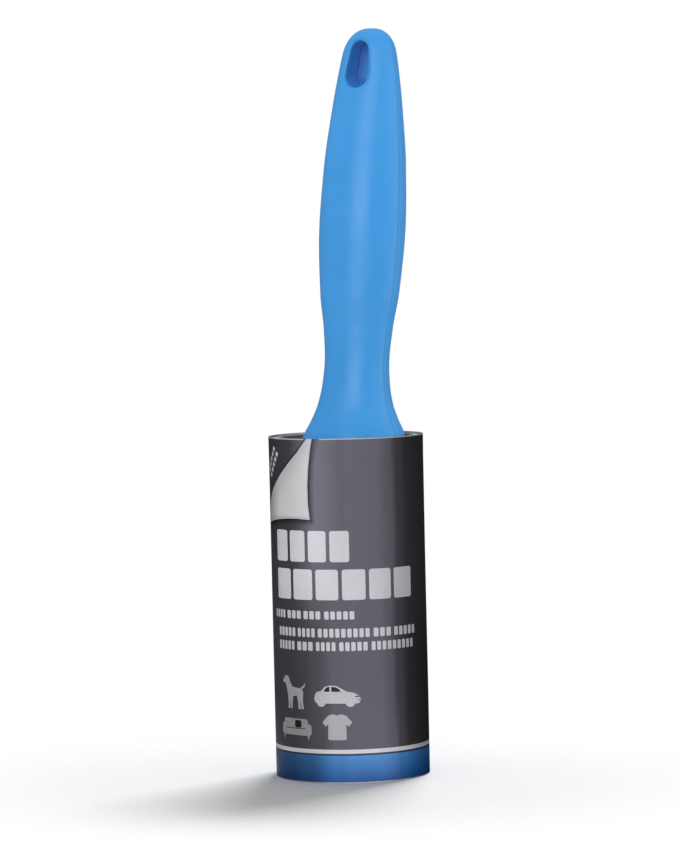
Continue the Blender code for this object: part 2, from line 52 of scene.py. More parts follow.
# Refill and cover, as in the CAD.
CORE_INNER_R, CORE_OUTER_R, CORE_HEIGHT = 19.0, 20.1, 101.2
SHEET_COUNT, SHEET_PITCH, SHEET_THICKNESS = 30, 0.088, 0.073
SHEET_LOW, SHEET_HIGH = 0.3, 100.9
SHEET_CUT, FIRST_CUT, CUT_STEP = 0.3, 5.6, 56.25  # the cut's width, and where it lies in degrees
ROLL_STEPS = 160
SEAM_PITCH, SEAM_DEPTH, SEAM_REACH, CORE_CHAMFER = 62.0, 0.09, 1.0, 0.12  # the core's spiral seam, and its rims
COVER_START_R, COVER_END_R, COVER_THICKNESS, COVER_HEIGHT = 22.965, 22.80, 0.15, 101.6
COVER_START_ANGLE, COVER_TURN = math.radians(123.75), math.radians(371.25)
PRINT_FRONT = math.radians(304)  # where the middle of the printing faces
PRINT_R = 22.7  # the radius at which distances round the printing are measured
BAND_HIGH, LINE_HIGH, STRIPE_HIGH = 8.15, 8.75, 9.95  # heights on the cover
CUT_EDGE = 0.3  # the white edge of the cover's paper
COVER_COLUMNS, COVER_LOW_ROW, COVER_ROW_STEP, COVER_ROWS = 150, 14.0, 5.0, 18

# Grip, as in the CAD.
BELL_Z, GRIP_LENGTH, GRIP_LEAN, LEAN_Z = 93.6, 128.4, math.radians(4.35), 62.3
GRIP_STATIONS = (  # height, half width, half thickness
    (0.0, 16.10, 16.10), (2.5, 16.05, 16.05), (8.0, 15.10, 15.10), (12.5, 13.00, 13.00), (17.5, 11.15, 11.15),
    (23.5, 10.05, 10.05), (30.0, 9.65, 9.65), (40.0, 10.35, 10.35), (50.0, 11.75, 11.75), (70.0, 12.85, 12.85),
    (88.0, 12.25, 12.00), (103.0, 11.00, 9.90), (116.0, 9.40, 7.60), (GRIP_LENGTH, 6.85, 5.60),
)
END_ROUNDING, END_EXPONENT, HALF_STEPS = 7.6, 2.5, 56
SHELL_WALL, BELL_FLOOR, CAVITY_TOP = 1.8, 2.0, 118.0
WALL_HEIGHTS, WALL_THICKNESS = (53.0, 79.0, 99.0), 1.2
SADDLES = ((98.6, 100.6), (103.7, 105.7), (108.8, 110.8), (117.0, 119.0))  # low and high ends, on the roller's axis
SEAM_GROOVE = ((0.03, 0.12), (0.07, 0.07), (0.12, 0.03), (0.20, 0.0))  # distance from the seam, depth
HOLE_HEIGHT, HOLE_WALL, HOLE_ROUNDING = 117.7, 1.6, {-1: 1.5, 1: 0.6}  # the rounding by side, front and back
HOLE_LOW_R, HOLE_LOW_DROP, HOLE_HIGH_R, HOLE_HIGH_RISE = 4.05, 2.8, 3.1, 3.7
BOSS_HEIGHTS, BOSS_R, PIN_R, PIN_REACH, SOCKET_R, SOCKET_DEPTH = (43.0, 66.0, 91.0), 3.2, 1.5, 3.0, 1.65, 3.5

# Running gear, as in the CAD.
TURNED_SIDES = 96
BORE_R, HUB_R, DRUM_R, DRUM_INNER_R, DRUM_LOW, DRUM_HIGH = 4.1, 7.0, 17.0, 15.5, 3.9, 91.9
HUB_LOW, WEB_LOW = 81.9, 90.1
RIBS, RIB_R, RIB_HALF_WIDTH = 6, 18.55, 1.0
TONGUES, TONGUE_HALF_WIDTH, TONGUE_SLOT, TONGUE_LOW, TONGUE_HIGH, BUMP_R = 3, 3.2, 0.9, 16.0, 44.0, 18.75
BUMP_FOOT_R, BUMP_HALF_WIDTH, BUMP_GAP, BUMP_HEIGHT = 16.6, 2.5, 0.5, 7.5
WINDOWS, WINDOW_INNER_R, WINDOW_OUTER_R, WINDOW_ANGLE = 6, 10.7, 13.2, math.radians(42)
SEAT_R, SEAT_HALF_WIDTH = 4.05, 3.25
CROSS_REACH, CROSS_HALF_WIDTH = 1.9, 0.45

# Stage and camera.
FLOOR_R, FLOOR_DROP, FLOOR_TONE = 700.0, 0.05, (0.90, 0.90, 0.905)
FLOOR_FADE = 0.05, 0.145  # metres from the axis over which the floor melts away
UNDER_R, UNDER_REACH = 23.4, 12.0  # where and how far light from below passes the floor
MIDDLE, LIGHT_DISTANCE = Vector((0.0, 0.0, 0.11)), 1.3
AMBIENT, REFLECTED = 0.45, 0.15  # the white surround's strength as light, and as it is seen in reflections
VIEW_AZIMUTH = math.radians(34)
CAMERA_DISTANCE, CAMERA_HEIGHT, CAMERA_ROLL = 1.15, 0.160, math.radians(1.31)
AIM_RIGHT, AIM_HEIGHT = -0.0018, 0.10436
LENS, SENSOR = 162.96, 36.0


# ---- materials


# The studio's reflection on the cover, painted into its colour: what it adds to the inks, and by how much at each
# place across the view.
SHEEN = (0.104, 0.099, 0.123)
SHEEN_ACROSS = ((-0.85, 0.03), (-0.6, 0.24), (-0.4, 0.53), (-0.15, 0.95), (0.05, 1.09), (0.40, 1.12), (0.54, 0.80),
                (0.66, 0.19), (0.78, 0.0))
LOW_SHEEN_ACROSS = ((-0.8, 0.11), (-0.6, 0.21), (-0.42, 0.39), (-0.33, 0.56), (-0.22, 0.86), (0.05, 0.98),
                    (0.42, 1.03), (0.54, 0.77), (0.64, 0.25), (0.78, 0.0))
# A painted highlight: a bright vertical strip of light left of the middle, on the upper cover only.
HIGHLIGHT_STRIPE_ACROSS = ((-0.75, 0.0), (-0.42, 0.95), (-0.1, 0.0))
# Painted shade: how much of an ink's own colour shows at each place across the view, less towards the roll's edges.
SHADE_ACROSS = ((-1.0, 0.6), (-0.85, 0.95), (-0.6, 1.0), (0.3, 1.0), (0.7, 0.9), (1.0, 0.62))
LOW_SHADE_ACROSS = ((-1.0, 0.5), (-0.85, 0.66), (-0.6, 0.72), (-0.25, 0.95), (0.3, 1.0), (0.65, 0.80), (1.0, 0.38))
BAND_SHADE_ACROSS = ((-0.95, 0.28), (-0.55, 0.44), (-0.2, 0.88), (0.0, 1.0), (0.45, 1.0), (0.65, 0.78), (1.0, 0.62))


class Paint:
    """A material's node tree, with short calls for its nodes."""

    def __init__(self, name, colour, roughness, metallic=0.0):
        self.material = bpy.data.materials.new(name)
        self.material.use_nodes = True
        self.tree = self.material.node_tree
        self.shader = self.tree.nodes["Principled BSDF"]
        self.set("Base Color", (*colour, 1.0))
        self.set("Roughness", roughness)
        self.set("Metallic", metallic)
        self.place = self.tree.nodes.new("ShaderNodeTexCoord").outputs["Object"]

    def join(self, value, socket):
        """Links a socket or sets a plain value."""
        if isinstance(value, bpy.types.NodeSocket):
            self.tree.links.new(value, socket)
        else:
            socket.default_value = value

    def set(self, name, value):
        self.join(value, self.shader.inputs[name])

    def node(self, kind, settings=(), **inputs):
        made = self.tree.nodes.new(kind)
        for name, value in dict(settings).items():
            setattr(made, name, value)
        for name, value in inputs.items():
            self.join(value, made.inputs[int(name[1:]) if name[1:].isdigit() else name])
        return made

    def stretched(self, z):
        return self.node("ShaderNodeMapping", Vector=self.place, Scale=(1, 1, z)).outputs[0]

    def z_of(self, value):
        return self.node("ShaderNodeSeparateXYZ", i0=value).outputs["Z"]

    def noise(self, size_mm, detail=2.0, place=None):
        inputs = {"Vector": place or self.place, "Scale": 1000.0 / size_mm, "Detail": detail}
        return self.node("ShaderNodeTexNoise", **inputs).outputs["Fac"]

    def varied(self, size_mm, detail, low, high, place=None):
        """A value that wanders between two, over blotches of a size."""
        return self.remap(self.noise(size_mm, detail, place), 0.3, 0.7, low, high)

    def maths(self, operation, a, b=0.0):
        return self.node("ShaderNodeMath", {"operation": operation}, i0=a, i1=b).outputs[0]

    def vector(self, operation, a, b=None, scale=None, output="Vector"):
        made = self.node("ShaderNodeVectorMath", {"operation": operation}, i0=a)
        if b is not None:
            self.join(b, made.inputs[1])
        if scale is not None:
            self.join(scale, made.inputs["Scale"])
        return made.outputs[output]

    def remap(self, value, low, high, to_low, to_high):
        inputs = {"Value": value, "From Min": low, "From Max": high, "To Min": to_low, "To Max": to_high}
        return self.node("ShaderNodeMapRange", **inputs).outputs[0]

    def mix(self, share, a, b):
        a, b = (value if isinstance(value, bpy.types.NodeSocket) else (*value, 1.0) for value in (a, b))
        return self.node("ShaderNodeMix", {"data_type": "RGBA"}, i0=share, i6=a, i7=b).outputs[2]

    def curve(self, value, stops):
        """A smooth curve through (value from -1 to 1, result) stops."""
        made = self.node("ShaderNodeValToRGB", i0=self.remap(value, -1.0, 1.0, 0.0, 1.0))
        made.color_ramp.interpolation = "EASE"
        elements = made.color_ramp.elements
        while len(elements) < len(stops):
            elements.new(0.5)
        for element, (at, result) in zip(elements, stops):
            element.position, element.color = (at + 1) / 2, (result, result, result, 1.0)
        return made.outputs["Color"]

    def bump(self, height, depth_mm, below=None):
        inputs = {"Height": height, "Distance": depth_mm * MM, "Strength": 1.0}
        if below is not None:
            inputs["Normal"] = below
        return self.node("ShaderNodeBump", **inputs).outputs[0]


def grip_paint():
    """Moulded blue polypropylene: faint flow marks, a fine matt grain and finger smudges in the shine, with painted
    shade that darkens the blue towards the bell and towards the tip.
    """
    p = Paint("grip_blue", (0.050, 0.335, 0.800), 0.34)
    flow = p.varied(14, 3, 0, 1, p.stretched(0.35))
    tone = p.mix(flow, (0.044, 0.315, 0.745), (0.060, 0.350, 0.795))
    height = p.z_of(p.place)
    # Painted shade: the blue darkens with height, towards the bell's flare below 135 mm and towards the tip above 195
    # mm.
    low = p.remap(height, 0.100, 0.135, 0.90, 1.0)
    high = p.remap(height, 0.195, 0.222, 1.0, 0.90)
    p.set("Base Color", p.vector("SCALE", tone, scale=p.maths("MULTIPLY", low, high)))
    p.set("Roughness", p.varied(6, 4, 0.30, 0.42))
    grain = p.bump(p.noise(0.35, 2), 0.006)
    p.set("Normal", p.bump(p.noise(9, 1), 0.05, grain))
    p.set("Subsurface Weight", 0.12)
    p.set("Subsurface Radius", (0.4, 0.8, 1.0))
    p.set("Subsurface Scale", 0.002)
    p.set("Specular IOR Level", 0.45)
    return p.material


def print_paint():
    """Glossy printed paper. The mesh carries its inks; a painted reflection of the studio lies over them in the base
    colour, with a painted highlight on the upper part, and painted shade darkens them towards the roll's edges.

    The reflection follows the view round the roll: across is the sine of the angle between the surface and the
    direction it is seen from, both levelled, from -1 at the left edge of the roll to 1 at its right edge.
    """
    p = Paint("printed_cover", (0.1, 0.1, 0.1), 0.38)
    ink = p.node("ShaderNodeAttribute", {"attribute_name": "ink"})
    fibre = p.remap(p.noise(0.7, 4), 0.35, 0.65, 0.97, 1.03)
    cloud = p.varied(18, 2, 0.96, 1.04)
    toned = p.vector("SCALE", ink.outputs["Color"], scale=p.maths("MULTIPLY", fibre, cloud))
    surface = p.node("ShaderNodeNewGeometry").outputs
    seen = p.vector("NORMALIZE", p.vector("MULTIPLY", surface["Incoming"], (1.0, 1.0, 0.0)))
    turned = p.vector("CROSS_PRODUCT", seen, surface["Normal"])
    across = p.z_of(turned)
    streaks = p.varied(7, 3, -0.04, 0.04, p.stretched(0.12))
    wavering = p.maths("ADD", across, streaks)
    height = p.z_of(p.place)
    upper = p.remap(height, 0.045, 0.072, 0.0, 1.0)
    # Painted reflection: how much of SHEEN is added to each ink, by height and across the view.
    sheen = p.mix(upper, p.curve(wavering, LOW_SHEEN_ACROSS), p.curve(wavering, SHEEN_ACROSS))
    # Painted highlight: a bright vertical strip of light left of the middle, on the upper cover.
    painted_highlight = p.curve(wavering, HIGHLIGHT_STRIPE_ACROSS)
    share = p.maths("ADD", sheen, p.maths("MULTIPLY", painted_highlight, upper))
    share = p.maths("MULTIPLY", share, ink.outputs["Alpha"])
    # Painted shade: the inks darken towards the roll's edges, more on the lower cover, and the blue band darkens
    # further, most on its left.
    shaded_upper = p.remap(height, 0.035, 0.060, 0.0, 1.0)
    shade = p.mix(shaded_upper, p.curve(across, LOW_SHADE_ACROSS), p.curve(across, SHADE_ACROSS))
    band = p.remap(height, (BAND_HIGH - 0.1) * MM, (BAND_HIGH + 0.1) * MM, 1.0, 0.0)
    loss = p.maths("SUBTRACT", p.curve(across, BAND_SHADE_ACROSS), 1.0)
    shade = p.maths("MULTIPLY", shade, p.maths("ADD", 1.0, p.maths("MULTIPLY", band, loss)))
    # The inks with their painted shade, plus the painted reflection over them.
    printed, reflected = p.vector("SCALE", toned, scale=shade), p.vector("SCALE", SHEEN, scale=share)
    p.set("Base Color", p.vector("ADD", printed, reflected))
    p.set("Roughness", p.varied(5, 3, 0.34, 0.44))
    fibres = p.bump(p.noise(0.5, 3), 0.004)
    p.set("Normal", p.bump(p.noise(11, 1, p.stretched(0.4)), 0.05, fibres))
    p.set("Specular IOR Level", p.maths("MULTIPLY", sheen, 0.3))
    return p.material


def sheet_paint():
    """White coated paper, tacky outside, its white varying a little in faint blotches."""
    p = Paint("sheet_paper", (0.78, 0.78, 0.77), 0.42)
    p.set("Base Color", p.mix(p.varied(1.6, 4, 0, 1), (0.765, 0.765, 0.76), (0.805, 0.805, 0.80)))
    p.set("Roughness", p.varied(3, 3, 0.28, 0.5))
    p.set("Normal", p.bump(p.noise(0.6, 3), 0.008))
    return p.material


def cardboard_paint():
    """Grey-brown board: fibres that follow the winding, with flecks. Its tones are kept darker than the board's own,
    partly as painted shade for the shadowed inside of the core.
    """
    p = Paint("cardboard", (0.30, 0.21, 0.14), 0.9)
    fibres = p.noise(0.9, 5, p.stretched(0.25))
    # Painted shade in part: both tones are darker than bare board, to stand for the shade inside the core.
    base = p.mix(p.remap(fibres, 0.3, 0.7, 0, 1), (0.190, 0.128, 0.084), (0.300, 0.214, 0.146))
    flecks = p.remap(p.noise(0.5, 2), 0.62, 0.70, 0, 0.6)
    p.set("Base Color", p.mix(flecks, base, (0.12, 0.085, 0.06)))
    p.set("Normal", p.bump(fibres, 0.05))
    return p.material


def natural_paint():
    """White acetal: nearly even, faintly waxy."""
    p = Paint("natural_plastic", (0.80, 0.80, 0.77), 0.38)
    p.set("Base Color", p.mix(p.varied(8, 3, 0, 1), (0.76, 0.76, 0.72), (0.83, 0.83, 0.80)))
    p.set("Roughness", p.varied(2, 3, 0.32, 0.45))
    p.set("Normal", p.bump(p.noise(0.4, 2), 0.004))
    p.set("Subsurface Weight", 0.2)
    p.set("Subsurface Scale", 0.002)
    return p.material


def steel_paint():
    """Bright zinc plate with fine turning marks and a slight blue cast."""
    p = Paint("zinc_steel", (0.62, 0.63, 0.66), 0.28, metallic=1.0)
    marks = p.noise(0.5, 3, p.stretched(6))
    p.set("Base Color", p.mix(p.varied(2.5, 3, 0, 1), (0.55, 0.56, 0.60), (0.68, 0.69, 0.70)))
    p.set("Roughness", p.remap(marks, 0.3, 0.7, 0.20, 0.38))
    p.set("Normal", p.bump(marks, 0.006))
    return p.material


# ---- shapes


def linked(name, data):
    made = bpy.data.objects.new(name, data)
    bpy.context.scene.collection.objects.link(made)
    return made


def object_of(name, bm, surface=None):
    """An object from a bmesh drawn in millimetres, with outward normals."""
    bmesh.ops.recalc_face_normals(bm, faces=bm.faces)
    bm.transform(Matrix.Diagonal((MM, MM, MM, 1)))
    mesh = bpy.data.meshes.new(name)
    bm.to_mesh(mesh)
    bm.free()
    if surface is not None:
        mesh.materials.append(surface)
    return linked(name, mesh)


def carved(base, steps):
    """Applies Booleans in order, each (operation, cutter object), and removes the cutters."""
    for operation, cutter in steps:
        step = base.modifiers.new(cutter.name, "BOOLEAN")
        step.operation, step.solver, step.object = operation, "EXACT", cutter
    bpy.context.view_layer.update()
    result = bpy.data.meshes.new_from_object(base.evaluated_get(bpy.context.evaluated_depsgraph_get()))
    base.modifiers.clear()
    base.data = result
    for _, cutter in steps:
        bpy.data.objects.remove(cutter)
    return base


def smoothed(made):
    made.data.shade_smooth()
    made.data.set_sharp_from_angle(angle=SMOOTH_ANGLE)
    return made


def piece(made, body, node):
    """Puts a finished object on its CAD body in place of a CAD node."""
    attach(made, body)
    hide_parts(node)
    return made


def add_rings(bm, rings, close_ends=True):
    """Adds a solid skin through closed rings of points that all have the same number of points."""
    loops = [[bm.verts.new(point) for point in ring] for ring in rings]
    count = len(loops[0])
    for low, high in zip(loops, loops[1:]):
        for i in range(count):
            j = (i + 1) % count
            bm.faces.new((low[i], low[j], high[j], high[i]))
    if close_ends:
        bm.faces.new(loops[0])
        bm.faces.new(loops[-1])
    return loops


def add_prism(bm, outline, low, high, place=Matrix.Identity(4)):
    add_rings(bm, [[place @ Vector((x, y, z)) for x, y in outline] for z in (low, high)])


def circle(radius, sides=48):
    return [(radius * math.cos(math.tau * i / sides), radius * math.sin(math.tau * i / sides)) for i in range(sides)]


def rectangle(half_x, half_y):
    return [(-half_x, -half_y), (half_x, -half_y), (half_x, half_y), (-half_x, half_y)]


def egg(low_r, low_y, high_r, high_y, arc_steps=20):
    """The outline round two circles on the local Y axis, a wide one below and a narrow one above."""
    slope = math.asin((low_r - high_r) / (high_y - low_y))
    right = [(high_r, high_y, slope + (math.pi - 2 * slope) * i / arc_steps) for i in range(arc_steps + 1)]
    left = [(low_r, low_y, math.pi - slope + (math.pi + 2 * slope) * i / arc_steps) for i in range(arc_steps + 1)]
    return [(r * math.cos(a), y + r * math.sin(a)) for r, y, a in right + left]


def eased(outline, radius, closed=True, steps=3):
    """An outline with its corners rounded."""
    count, points = len(outline), []
    for i, corner in enumerate(outline):
        if not closed and i in (0, count - 1):
            points.append(corner)
            continue
        here, before, after = (Vector(outline[j % count]) for j in (i, i - 1, i + 1))
        reach = min(radius, (before - here).length * 0.45, (after - here).length * 0.45)
        start, end = here + (before - here).normalized() * reach, here + (after - here).normalized() * reach
        for k in range(steps + 1):
            t = k / steps
            points.append(tuple(start * (1 - t) ** 2 + here * 2 * t * (1 - t) + end * t**2))
    return points


def turned(profile, closed=True):
    """A bmesh made by turning (radius, z) points round Z. An open profile starts and ends on the axis."""
    bm = bmesh.new()
    points = [bm.verts.new((r, 0.0, z)) for r, z in profile]
    pairs = list(zip(points, points[1:])) + ([(points[-1], points[0])] if closed else [])
    geometry = points + [bm.edges.new(pair) for pair in pairs]
    turn = {"axis": (0, 0, 1), "cent": (0, 0, 0), "angle": math.tau, "steps": TURNED_SIDES, "use_duplicate": False}
    bmesh.ops.spin(bm, geom=geometry, **turn)
    bmesh.ops.remove_doubles(bm, verts=bm.verts, dist=1e-4)
    return bm


def outward(angle):
    """A frame whose local z points out of the roller's axis, local x runs round it and local y up it."""
    out, up = Vector((math.cos(angle), math.sin(angle), 0.0)), Vector((0.0, 0.0, 1.0))
    return Matrix((up.cross(out), up, out)).transposed().to_4x4()


def add_ridge(bm, angle, half_width, stations, corner=0.35):
    """A ridge up the drum with rounded edges, through (height, outer radius) stations."""
    root, rings = DRUM_R - 0.75, []
    for z, r in stations:
        outline = eased([(root, -half_width), (r, -half_width), (r, half_width), (root, half_width)], corner)
        turn = Matrix.Rotation(angle, 2)
        rings.append([(*(turn @ Vector(point)), z) for point in outline])
    add_rings(bm, rings)


# ---- grip


def through(column, height):
    """A cubic through one column of the grip's stations, whose slopes never overshoot."""
    xs = [s[0] for s in GRIP_STATIONS]
    ys = [s[column] for s in GRIP_STATIONS]
    steps = [(ys[i + 1] - ys[i]) / (xs[i + 1] - xs[i]) for i in range(len(xs) - 1)]
    slopes = [steps[0]]
    for before, after in zip(steps, steps[1:]):
        slopes.append(2 * before * after / (before + after) if before * after > 0 else 0.0)
    slopes.append(steps[-1])
    span = max(i for i in range(len(steps)) if xs[i] <= height or i == 0)
    width = xs[span + 1] - xs[span]
    t = min(1.0, max(0.0, (height - xs[span]) / width))
    rise = 2 * t**3 - 3 * t**2
    return (
        (1 + rise) * ys[span]
        - rise * ys[span + 1]
        + (t**3 - 2 * t**2 + t) * width * slopes[span]
        + (t**3 - t**2) * width * slopes[span + 1]
    )


def grip_section(height):
    """(centre x, half width, half thickness) of the grip's outside at a height above the bell's lower face."""
    u = min(1.0, max(0.0, (height - (GRIP_LENGTH - END_ROUNDING)) / END_ROUNDING))
    closing = (1 - u**END_EXPONENT) ** (1 / END_EXPONENT)
    centre = (BELL_Z + height - LEAN_Z) * math.tan(GRIP_LEAN)
    return centre, through(1, height) * closing, through(2, height) * closing


def grip_surface(x, z):
    """The half thickness of the grip's outside at a point on the seam's plane."""
    centre, half_width, half_thickness = grip_section(z - BELL_Z)
    return half_thickness * math.sqrt(max(0.0, 1 - ((x - centre) / half_width) ** 2))


def half_ring(height, side, shrink=0.0):
    """Half of one section, from the seam's groove on the right round to the groove on the left."""
    centre, a, b = grip_section(height)
    a, b = a - shrink, b - shrink

    def at(y):
        return a * math.sqrt(max(0.0, 1 - (y / b) ** 2))

    right = [(centre + at(y) - depth, side * y) for y, depth in SEAM_GROOVE]
    left = [(centre - at(y) + depth, side * y) for y, depth in reversed(SEAM_GROOVE)]
    start = math.asin(SEAM_GROOVE[-1][0] / b)
    angles = [start + (math.pi - 2 * start) * i / HALF_STEPS for i in range(1, HALF_STEPS)]
    middle = [(centre + a * math.cos(t), side * b * math.sin(t)) for t in angles]
    return [(x, y, BELL_Z + height) for x, y in right + middle + left]


def half_grip(name, side):
    bm = bmesh.new()
    edge = [(0.0, 0.5), (0.15, 0.15), (0.5, 0.0)]  # the bell's rounded lower edge: height, shrink
    heights = [1 + 0.75 * i for i in range(40)] + [31 + 1.5 * i for i in range(60)]
    top = [GRIP_LENGTH - END_ROUNDING * (1 - math.sin(math.pi / 2 * i / 22)) for i in range(22)]
    rows = edge + [(h, 0.0) for h in heights if h < top[0] - 0.4] + [(h, 0.0) for h in top]
    loops = [[bm.verts.new(p) for p in half_ring(h, side, shrink)] for h, shrink in rows]
    for low, high in zip(loops, loops[1:]):
        for i in range(len(low) - 1):
            bm.faces.new((low[i], low[i + 1], high[i + 1], high[i]))
    tip = bm.verts.new((grip_section(GRIP_LENGTH)[0], side * SEAM_GROOVE[0][0], BELL_Z + GRIP_LENGTH))
    for i in range(len(loops[-1]) - 1):
        bm.faces.new((loops[-1][i], loops[-1][i + 1], tip))
    bm.faces.new(loops[0])
    bm.faces.new([loop[0] for loop in loops] + [tip] + [loop[-1] for loop in reversed(loops)])
    return object_of(name, bm)


def along_grip(height):
    """A frame on the grip's centre line whose local x is X, local y is up the leaning grip and local z is -Y."""
    stand = Matrix.Translation((grip_section(height)[0], 0.0, BELL_Z + height)) @ Matrix.Rotation(GRIP_LEAN, 4, "Y")
    return stand @ Matrix.Rotation(math.pi / 2, 4, "X")


def hang_hole(side):
    """What cuts the hang hole in one shell: a chamfer at the seam, straight walls, a rounded outer edge."""
    place = along_grip(HOLE_HEIGHT)

    def ring(grow, y):
        outline = egg(HOLE_LOW_R + grow, -HOLE_LOW_DROP, HOLE_HIGH_R + grow, HOLE_HIGH_RISE)
        points = [place @ Vector((x, up, 0.0)) for x, up in outline]
        return [(p.x, side * y, p.z) for p in points]

    def surface_ring(grow, below):
        return [(x, side * (grip_surface(x, z) - below), z) for x, _, z in ring(grow, 0.0)]

    rings = [ring(0.70, -1.0), ring(0.70, 0.22), ring(0.0, 0.45)]
    r, out = HOLE_ROUNDING[side], math.radians(80)
    for i in range(9):
        t = out * i / 8
        rings.append(surface_ring(r * (1 - math.cos(t)), r * (1 - math.sin(t))))
    past = 0.5 * r  # how far the cutter runs on, straight, past the surface
    grow, rise = r * (1 - math.cos(out)), r * (math.sin(out) - 1)
    rings.append(surface_ring(grow + past * math.sin(out), -rise - past * math.cos(out)))
    rings.append([(x, y + side * 4.0, z) for x, y, z in rings[-1]])
    bm = bmesh.new()
    add_rings(bm, rings)
    return object_of("hang_hole", bm)


def grip_cavity():
    """The hollow inside the shells, less the cross walls, pin bosses and hang hole wall that stand in it."""
    heights = [BELL_FLOOR + (CAVITY_TOP - BELL_FLOOR) * i / 40 for i in range(41)]
    rings = []
    for height in heights:
        centre, a, b = grip_section(height)
        angles = [math.tau * i / 64 for i in range(64)]
        a, b = a - SHELL_WALL, b - SHELL_WALL
        rings.append([(centre + a * math.cos(t), b * math.sin(t), BELL_Z + height) for t in angles])
    bm = bmesh.new()
    add_rings(bm, rings)
    cavity = object_of("cavity", bm)

    plates = bmesh.new()
    for low, high in SADDLES:
        add_prism(plates, rectangle(30, 20), low, high)
    for height in WALL_HEIGHTS:
        add_prism(plates, rectangle(30, 20), BELL_Z + height, BELL_Z + height + WALL_THICKNESS)
    bosses = bmesh.new()
    for height in BOSS_HEIGHTS:
        add_prism(bosses, circle(BOSS_R), -20, 20, along_grip(height))
    wall = bmesh.new()
    outline = egg(HOLE_LOW_R + HOLE_WALL, -HOLE_LOW_DROP, HOLE_HIGH_R + HOLE_WALL, HOLE_HIGH_RISE)
    add_prism(wall, outline, -20, 20, along_grip(HOLE_HEIGHT))
    solids = (object_of("plates", plates), object_of("bosses", bosses), object_of("hole_wall", wall))
    return carved(cavity, [("DIFFERENCE", solid) for solid in solids])


def spindle_seat():
    """The room for the spindle in the saddles: round below, and narrow where the spindle has its flats."""
    seat = bmesh.new()
    add_prism(seat, circle(SEAT_R), 91.0, 114.0)
    add_prism(seat, rectangle(SEAT_HALF_WIDTH, SEAT_R), 115.0, 127.0)
    return object_of("seat", seat)


def pins(radius, low, high):
    """Pegs on the bosses' axes; their local z runs towards -Y. The free ends are rounded."""
    bm = bmesh.new()
    for height in BOSS_HEIGHTS:
        place = along_grip(height)
        rounding = ((low, 0.0), (high - 0.4, 0.0), (high - 0.12, 0.12), (high, 0.4))
        add_rings(bm, [[place @ Vector((x, y, z)) for x, y in circle(radius - inset, 32)] for z, inset in rounding])
    return object_of("pins", bm)


def build_grip(paint):
    cavity, seat = grip_cavity(), spindle_seat()
    shells = []
    for name, side in (("front", -1), ("back", 1)):
        shell = half_grip(f"grip_shell_{name}", side)
        cutters = [linked(f"{made.name}_{name}", made.data.copy()) for made in (cavity, seat)] + [hang_hole(side)]
        steps = [("DIFFERENCE", cutter) for cutter in cutters]
        if side < 0:
            steps.append(("DIFFERENCE", pins(SOCKET_R, -1.0, SOCKET_DEPTH)))
        else:
            steps.append(("UNION", pins(PIN_R, -PIN_REACH, PIN_REACH)))
        carved(shell, steps)
        shell.data.materials.clear()
        shell.data.materials.append(paint)
        shells.append(piece(smoothed(shell), "handle", f"grip_{name}_shell"))
    bpy.data.objects.remove(cavity)
    bpy.data.objects.remove(seat)
    return shells


# ---- running gear


def build_drum(paint):
    """The sleeve, with six long ribs and three spring tongues, and the cap in its lower end."""
    profile = [(DRUM_INNER_R, DRUM_LOW), (DRUM_R, DRUM_LOW), (DRUM_R, DRUM_HIGH), (BORE_R, DRUM_HIGH),
               (BORE_R, HUB_LOW), (HUB_R, HUB_LOW), (HUB_R, WEB_LOW), (DRUM_INNER_R, WEB_LOW)]
    sleeve = object_of("drum_tube", turned(eased(profile, 0.35)), paint)
    ribs, bumps, slots = bmesh.new(), bmesh.new(), bmesh.new()
    stations = [(6.0, 16.7), (8.6, 18.35), (9.2, RIB_R), (87.5, RIB_R), (87.88, 18.42), (88.0, 18.1)]
    for i in range(RIBS):
        add_ridge(ribs, math.tau * (i + 0.5) / RIBS, RIB_HALF_WIDTH, stations)
    inner, outer, foot = TONGUE_HALF_WIDTH, TONGUE_HALF_WIDTH + TONGUE_SLOT, TONGUE_LOW + TONGUE_SLOT
    slot = [(-outer, TONGUE_HIGH), (-outer, TONGUE_LOW), (outer, TONGUE_LOW), (outer, TONGUE_HIGH),
            (inner, TONGUE_HIGH), (inner, foot), (-inner, foot), (-inner, TONGUE_HIGH)]
    swell = []
    for i in range(17):
        height = foot + BUMP_GAP + BUMP_HEIGHT * i / 16
        swell.append((height, BUMP_FOOT_R + (BUMP_R - BUMP_FOOT_R) * math.sin(math.pi * i / 16) ** 0.7))
    for i in range(TONGUES):
        angle = math.tau * i / TONGUES
        add_prism(slots, eased(slot, 0.4), DRUM_R - 3.0, RIB_R + 2.0, outward(angle))
        add_ridge(bumps, angle, BUMP_HALF_WIDTH, swell, 0.5)
    ribs, slots, bumps = object_of("ribs", ribs), object_of("slots", slots), object_of("bumps", bumps)
    steps = (("UNION", ribs), ("DIFFERENCE", slots), ("UNION", bumps))
    piece(smoothed(carved(sleeve, steps)), "drum", "drum_sleeve")

    profile = [(DRUM_R, 1.6), (DRUM_R, 3.6), (15.35, 3.6), (15.35, 10.0), (13.85, 10.0), (13.85, 3.6), (10.0, 3.6),
               (10.0, 7.7), (HUB_R, 7.7), (HUB_R, 16.0), (BORE_R, 16.0), (BORE_R, 6.2), (8.5, 6.2), (8.5, 1.6)]
    cap = object_of("drum_cap", turned(eased(profile, 0.3)), paint)
    windows = bmesh.new()
    for i in range(WINDOWS):
        angles = [math.tau * (i + 0.5) / WINDOWS + WINDOW_ANGLE * (j / 12 - 0.5) for j in range(13)]
        outline = [(WINDOW_OUTER_R * math.cos(a), WINDOW_OUTER_R * math.sin(a)) for a in angles]
        outline += [(WINDOW_INNER_R * math.cos(a), WINDOW_INNER_R * math.sin(a)) for a in reversed(angles)]
        add_prism(windows, outline, 0.6, 4.6)
    cap = carved(cap, [("DIFFERENCE", object_of("windows", windows))])
    piece(smoothed(cap), "drum", "drum_end_cap")


